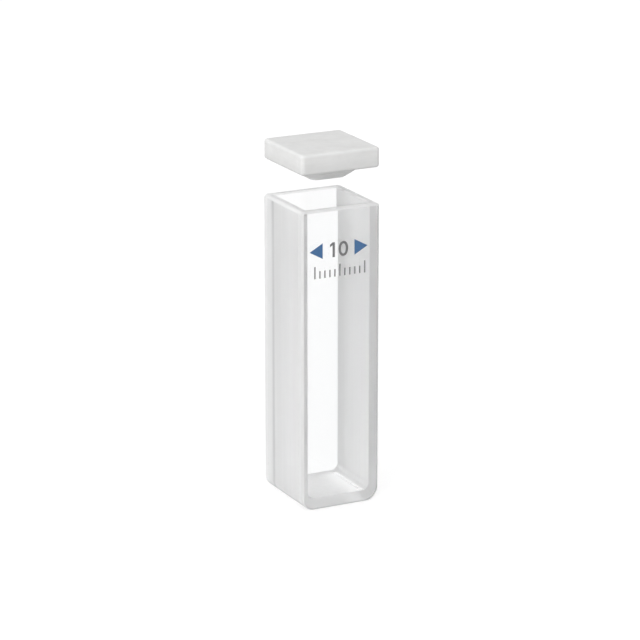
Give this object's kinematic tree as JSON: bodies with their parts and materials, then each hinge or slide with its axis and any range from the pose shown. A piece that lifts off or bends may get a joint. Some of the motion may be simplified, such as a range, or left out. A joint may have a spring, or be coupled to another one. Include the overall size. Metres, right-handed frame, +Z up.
{
  "type": "cuvette with lid",
  "caption": "Square quartz cell with clear polished front and rear windows fused to a frosted U-shaped frame, and a loose white square lid with a plug held above its open mouth.",
  "frame": {"origin": "centre of the underside of the cell's foot", "axes": "+Z up along the cell, from the foot to the mouth; -Y out of the front window, the one with the marks; +X to the right for someone who looks at that window"},
  "size_m": [0.0126, 0.0126, 0.0532],
  "materials": {
    "frosted_quartz": "fine ground, translucent white",
    "clear_quartz": "optically polished, clear",
    "lid_ptfe": "moulded PTFE, waxy white",
    "blue_enamel": "fired-on blue enamel"
  },
  "bodies": {
    "root": {"u_frame": "frosted_quartz", "front_window": "clear_quartz", "rear_window": "clear_quartz", "lid": "lid_ptfe", "blue_marks": "blue_enamel"}
  },
  "joints": []
}
